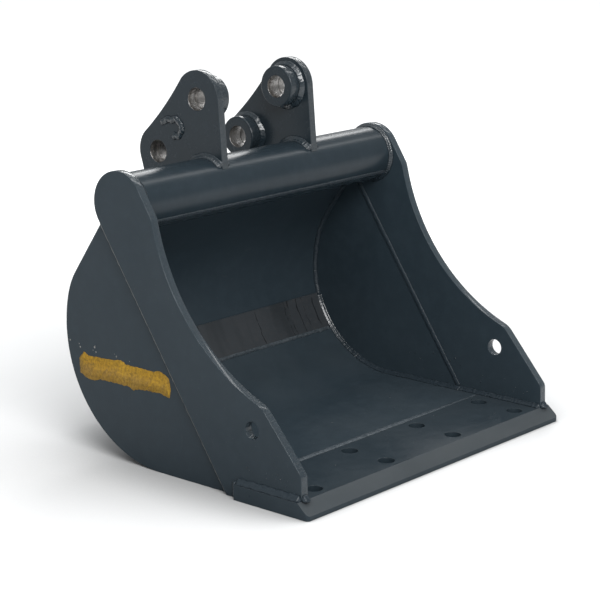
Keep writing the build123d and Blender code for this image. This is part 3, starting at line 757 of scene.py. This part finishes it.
def make_scar(material):
    """Irregular weld scar on the outer face of the left ear, curled round a hollow."""
    points = [AXIS + Vector((0, y, z)) * MM for y, z in SCAR_LINE]
    lean = Vector((LEAN, 0, 0))
    run = []
    for here, there in zip(points, points[1:]):
        along = (there - here).normalized()
        side = along.cross(Vector((1, 0, 0)))
        leg_a = (side - lean).normalized()
        leg_b = (-side - lean).normalized()
        count = max(2, int((there - here).length / SCAR_STEP))
        run += [(at(-EAR_OUT, here.lerp(there, i / count)), leg_a, leg_b) for i in range(count)]
    bead("ear_scar", [], [run], material, size=(5.0, 5.0),
         crown=2.8, ripple=0.7, pitch=9.0, seed=97, wander=0.45)


def lump(verts, faces, centre, normal, radius, seed):
    """Small noisy droplet of spatter sitting on a surface."""
    side = normal.orthogonal().normalized()
    other = normal.cross(side)
    first = len(verts)
    for i in range(LUMP_RINGS):
        lift = i / LUMP_RINGS
        height = math.sin(lift * math.pi / 2) * radius * LUMP_HEIGHT - LUMP_SUNK
        for j in range(LUMP_SPOKES):
            turn = 2 * math.pi * j / LUMP_SPOKES
            spread = math.cos(lift * math.pi / 2) * radius * (1 + 0.3 * waver(turn, lift, seed))
            ray = side * math.cos(turn) + other * math.sin(turn)
            verts.append(centre + ray * spread + normal * height)
    verts.append(centre + normal * radius * LUMP_HEIGHT)
    top = len(verts) - 1
    for i in range(LUMP_RINGS - 1):
        below = first + i * LUMP_SPOKES
        above = below + LUMP_SPOKES
        for j in range(LUMP_SPOKES):
            k = (j + 1) % LUMP_SPOKES
            faces.append((below + j, below + k, above + k, above + j))
    last = first + (LUMP_RINGS - 1) * LUMP_SPOKES
    faces.extend((last + j, last + (j + 1) % LUMP_SPOKES, top) for j in range(LUMP_SPOKES))
    faces.append(tuple(reversed(range(first, first + LUMP_SPOKES))))


def edge_holes():
    """Centres of the bolt holes in the cutting edge, seen from above."""
    centres = []
    for name in ("edge_bolts_outer", "edge_bolts_inner"):
        middle, dims = mounts[name]["pos_m"], mounts[name]["dims"]
        for x in (-0.5, 0.5):
            for y in (-0.5, 0.5):
                centres.append(Vector((middle[0] + x * dims["spacing_x_mm"] * MM,
                                       middle[1] + y * dims["spacing_y_mm"] * MM, 0)))
    return centres


def spatter_areas():
    """Spattered patches: (surface normal, low corner, high corner, number of lumps)."""
    left, right = Vector((-1, 0, 0)), Vector((1, 0, 0))
    heel = SHELL_C.y
    areas = [(UP, (-SPATTER_HALF, CUTTER_TOE, EDGE_TOP), (SPATTER_HALF, EDGE_REAR, EDGE_TOP), 16),
             (UP, (-SPATTER_HALF, EDGE_REAR, EDGE_TOP), (SPATTER_HALF, heel, EDGE_TOP), 22)]
    for normal, x, height, count in ((left, -CUTTER_OUT, 26 * MM, 12), (right, CUTTER_OUT, 26 * MM, 12),
                                     (left, CUTTER_IN, 30 * MM, 10), (right, -CUTTER_IN, 30 * MM, 10)):
        areas.append((normal, (x, CUTTER_TOE + 20 * MM, EDGE_TOP + 6 * MM),
                      (x, EDGE_REAR, EDGE_TOP + height), count))
    for normal, x in ((left, SIDE_IN), (right, -SIDE_IN)):
        areas.append((normal, (x, EDGE_REAR, EDGE_TOP + 8 * MM), (x, heel, EDGE_TOP + 60 * MM), 14))
    return areas


def make_spatter(material):
    """Weld spatter left on the plates near the beads."""
    rng = random.Random(17)
    holes = edge_holes()
    verts, faces = [], []
    for normal, low, high, count in spatter_areas():
        for _ in range(count):
            spot = Vector([a + (b - a) * rng.random() for a, b in zip(low, high)])
            flat = Vector((spot.x, spot.y, 0))
            over_hole = any((flat - hole).length < HOLE_CLEARANCE for hole in holes)
            if not (over_hole and normal == UP):
                lump(verts, faces, spot, normal, rng.uniform(0.5, 1.1) * MM, rng.random() * 50)
    add_piece("spatter", verts, faces, material)


# ---- sticker -----------------------------------------------------------------------------
# corners of the torn sticker: (y, z) in mm from the label's centre
LABEL_CORNERS = [(84, 7), (76, 17), (66, 13), (20, 15.5), (7, 18), (-2, 14), (-52, 13.5), (-62, 16.5),
                 (-73, 13), (-79, 8), (-82, -6), (-79, -16), (-62, -12.5), (-24, -14.5), (-14, -18),
                 (-8, -14.5), (45, -15), (60, -19), (70, -18), (82, -12)]
LABEL_HALF_MM = 18.4        # the torn edge stays within this height
LABEL_STEP_MM = 1.2
LABEL_THICK_MM = 0.35
TEAR_MM = 1.1               # how far the torn edge strays
TEAR_WAVES = 0.25           # waves in a mm of the torn edge
# scraps of the sticker's backing: (y, z, size) in mm from the label's centre
SCRAPS = [(101, 28, 1.6), (82, 22, 2.2), (84, 26, 1.2), (55, 27, 2.4), (53, 20, 1.6), (58, 22, 1.0),
          (15, 21, 2.0), (18, 24, 1.0), (-9, 19, 1.0)]
SCRAP_CORNERS = 9
SCRAP_TURN = 0.698          # radians from one corner to the next
SCRAP_THICK_MM = 0.15


def add_flake(verts, faces, centre, shape, thick):
    """Flat flake on the left side plate from an outline in mm round the label's centre."""
    first, count = len(verts), len(shape)
    for x in (-SIDE_OUT + 0.1 * MM, -SIDE_OUT - thick * MM):
        verts.extend(Vector((x, centre.y + y * MM, centre.z + z * MM)) for y, z in shape)
    faces.append(tuple(range(first, first + count)))
    faces.append(tuple(reversed(range(first + count, first + 2 * count))))
    faces.extend((first + i, first + (i + 1) % count, first + count + (i + 1) % count, first + count + i)
                 for i in range(count))


def torn_outline():
    """Outline of the sticker in short steps, with a ragged edge."""
    edge = []
    for (ya, za), (yb, zb) in zip(LABEL_CORNERS, LABEL_CORNERS[1:] + LABEL_CORNERS[:1]):
        count = max(2, int(math.hypot(yb - ya, zb - za) / LABEL_STEP_MM))
        for i in range(count):
            t = i / count
            y, z = ya + (yb - ya) * t, za + (zb - za) * t
            stray_y = TEAR_MM * waver(y * TEAR_WAVES, z * TEAR_WAVES, 1.0)
            stray_z = TEAR_MM * waver(y * TEAR_WAVES, z * TEAR_WAVES, 8.0)
            edge.append((y + stray_y, min(max(z + stray_z, -LABEL_HALF_MM), LABEL_HALF_MM)))
    return edge


def make_label(ink, backing):
    """Thin torn sticker on the left side plate, and a few scraps of its backing."""
    low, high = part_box("side_label")
    centre = (low + high) / 2
    verts, faces = [], []
    add_flake(verts, faces, centre, torn_outline(), LABEL_THICK_MM)
    add_piece("side_label_sheet", verts, faces, ink, ["side_label"])

    rng = random.Random(5)
    verts, faces = [], []
    for y, z, size in SCRAPS:
        shape = []
        for k in range(SCRAP_CORNERS):
            reach = size * rng.uniform(0.4, 1.1)
            shape.append((y + reach * math.cos(k * SCRAP_TURN) * 0.8, z + reach * math.sin(k * SCRAP_TURN)))
        add_flake(verts, faces, centre, shape, SCRAP_THICK_MM)
    add_piece("label_scraps", verts, faces, backing)


# ---- CAD nodes: rounded edges and materials ------------------------------------------------
def round_edges(node, width):
    """Rounds the sharp edges of a CAD node with modifiers; its own mesh stays as it is."""
    thing = frame["nodes"][node]
    merge = thing.modifiers.new("merge", "WELD")
    merge.merge_threshold = 0.01 * MM
    flatten = thing.modifiers.new("flatten", "DECIMATE")
    flatten.decimate_type = "DISSOLVE"
    flatten.angle_limit = math.radians(0.5)
    edge = thing.modifiers.new("edge", "BEVEL")
    edge.width = width
    edge.segments = 3
    edge.limit_method = "ANGLE"
    edge.angle_limit = math.radians(38)
    edge.harden_normals = True
    edge.use_clamp_overlap = True


def coat(node, material):
    data = frame["nodes"][node].data
    data.materials.clear()
    data.materials.append(material)


def make_finishes():
    """Paint and rounded edges; the right side's paint is a little lighter, painted light for the bounce light
    its faces get in the cavity.
    """
    plates = {"left": paint("plate_paint", tone=0.94, flame_cut=True)}
    tube = paint("tube_paint", tone=0.8, gloss=0.26, dust=0.04, peel=0.05, specks=0.0, shine=0.17, wear=0.0)
    blade = paint("edge_paint", tone=0.95, gloss=0.32, dust=0.2, slope_tint=0.36)
    # painted light: the floor and back plates get lighter copies of the paint, for the light in the cavity
    inner = paint("shell_paint", tone=1.18, dust=0.2)
    rear = paint("rear_paint", tone=1.12, dust=0.1)
    # painted shade: the ears and bosses get a darker copy of the paint, for their shaded lower faces
    bored = paint("ear_paint", tone=0.68, gloss=0.24, shine=0.2, flame_cut=True, bores=True)
    # painted light: the right plates get a lighter copy of the plate paint
    plates["right"] = paint("plate_paint_right", tone=1.16, flame_cut=True)
    for name in SIDES:
        for node, material, width in (("side_cutter_", plates[name], 1.0), ("side_plate_", plates[name], 0.6),
                                      ("ear_", bored, 1.5), ("upper_boss_", bored, 0.7),
                                      ("lower_boss_", bored, 0.7)):
            coat(node + name, material)
            round_edges(node + name, width * MM)
    coat("torque_tube", tube)
    coat("cutting_edge", blade)
    coat("shell_back_plate", rear)
    coat("floor_plate", inner)
    coat("joint_strip", strip_paint("strip_primer"))
    round_edges("cutting_edge", 0.8 * MM)


# ---- stage: floor, light and camera -----------------------------------------------------------
FLOOR_HALF = 60.0
SKY = (0.95, 0.98, 1.0, 1)
SKY_STRENGTH = 0.46
SUN_FROM = (0.12, 0.2, 0.95)
SUN_STRENGTH = 0.35
SUN_SPREAD = math.radians(45)
# name, place (m), aim (m), size (m), power (W)
SOFT_LIGHTS = [("fill", (-1.3, -2.0, 1.9), (0, 0.05, 0.15), (1.5, 1.1), 58),
               ("left_strip", (-1.7, -0.9, 1.9), (0.1, 0, 0.2), (0.05, 1.8), 8),
               ("rear", (2.0, 1.5, 1.9), (0, 0, 0.3), (1.0, 0.8), 18),
               ("ceiling_strip", (0.4, -0.3, 2.4), (0.4, -0.3, 0), (5.0, 0.35), 28)]
CAMERA_TURN = math.radians(-49.2)
CAMERA_DIP = math.radians(14.08)
CAMERA_REACH = 2.671
CAMERA_LENS_MM = 121.07
CAMERA_SENSOR_MM = 36.0
AIM_OFFSET = Vector((-20.1, 1.9, -56.6)) * MM      # from the middle of the CAD box


def make_stage():
    """Pale floor that glows a little away from the object, with a painted contact shadow: its colour darkens
    where the object crowds it.
    """
    half = FLOOR_HALF
    corners = [(-half, -half, 0), (half, -half, 0), (half, half, 0), (-half, half, 0)]
    mesh = bpy.data.meshes.new("floor")
    mesh.from_pydata(corners, [], [(0, 1, 2, 3)])
    floor = bpy.data.objects.new("floor", mesh)
    bpy.context.scene.collection.objects.link(floor)
    material, tree, shader = new_material("pale_floor")
    shader.inputs["Emission Color"].default_value = (1, 1, 1, 1)
    # painted contact shadow: ambient occlusion darkens the floor's colour near the object
    open_sky = add(tree, "AmbientOcclusion", {"Distance": 0.30}, samples=16).outputs["AO"]
    near_sky = add(tree, "AmbientOcclusion", {"Distance": 0.09}, samples=16).outputs["AO"]
    shadowed_pale = multiply(tree, ramp(tree, open_sky, 0.45, 0.92, 0.50, 0.80),
                    ramp(tree, near_sky, 0.6, 0.99, 0.80, 1.0))
    grey = add(tree, "CombineColor", {0: shadowed_pale, 1: shadowed_pale, 2: shadowed_pale}).outputs[0]
    tree.links.new(grey, shader.inputs["Base Color"])
    coords = add(tree, "TexCoord").outputs["Object"]
    reach = add(tree, "VectorMath", {0: coords}, operation="LENGTH").outputs["Value"]
    tree.links.new(ramp(tree, reach, 0.45, 1.6, 0.0, 0.55), shader.inputs["Emission Strength"])
    shader.inputs["Roughness"].default_value = 0.9
    shader.inputs["Specular IOR Level"].default_value = 0.1
    mesh.materials.append(material)


def add_lamp(name, lamp, look, spot=(0, 0, 0)):
    """Put a lamp at a spot, shining along look."""
    thing = bpy.data.objects.new(name, lamp)
    thing.location = spot
    thing.rotation_euler = look.to_track_quat("-Z", "Y").to_euler()
    bpy.context.scene.collection.objects.link(thing)


def make_light():
    """Pale sky, a weak wide sun and four soft lights."""
    world = bpy.data.worlds.new("studio")
    bpy.context.scene.world = world
    world.use_nodes = True
    background = world.node_tree.nodes["Background"]
    background.inputs["Color"].default_value = SKY
    background.inputs["Strength"].default_value = SKY_STRENGTH

    lamp = bpy.data.lights.new("overcast", "SUN")
    lamp.energy = SUN_STRENGTH
    lamp.angle = SUN_SPREAD
    add_lamp("overcast", lamp, -Vector(SUN_FROM))
    for name, spot, aim, size, power in SOFT_LIGHTS:
        lamp = bpy.data.lights.new(name, "AREA")
        lamp.shape = "RECTANGLE"
        lamp.size, lamp.size_y = size
        lamp.energy = power
        add_lamp(name, lamp, Vector(aim) - Vector(spot), spot)


def make_camera():
    """Three-quarter view from the front left, a little above."""
    aim = (cad_box[0] + cad_box[1]) / 2 + AIM_OFFSET
    level = math.cos(CAMERA_DIP)
    look = Vector((-math.sin(CAMERA_TURN) * level, math.cos(CAMERA_TURN) * level, -math.sin(CAMERA_DIP)))
    data = bpy.data.cameras.new("camera")
    data.sensor_width = CAMERA_SENSOR_MM
    data.lens = CAMERA_LENS_MM
    data.clip_start, data.clip_end = 0.05, 60.0
    camera = bpy.data.objects.new("camera", data)
    camera.location = aim - look * CAMERA_REACH
    camera.rotation_euler = look.to_track_quat("-Z", "Y").to_euler()
    bpy.context.scene.collection.objects.link(camera)
    bpy.context.scene.camera = camera


make_finishes()
bead_looks = weld_looks()
make_welds(bead_looks)
make_scar(bead_looks["thick"])
make_spatter(bead_looks["thick"])
make_label(label_ink("label_ink"), paper_backing("label_backing"))
make_stage()
make_light()
make_camera()
bpy.context.scene.view_settings.view_transform = "Standard"
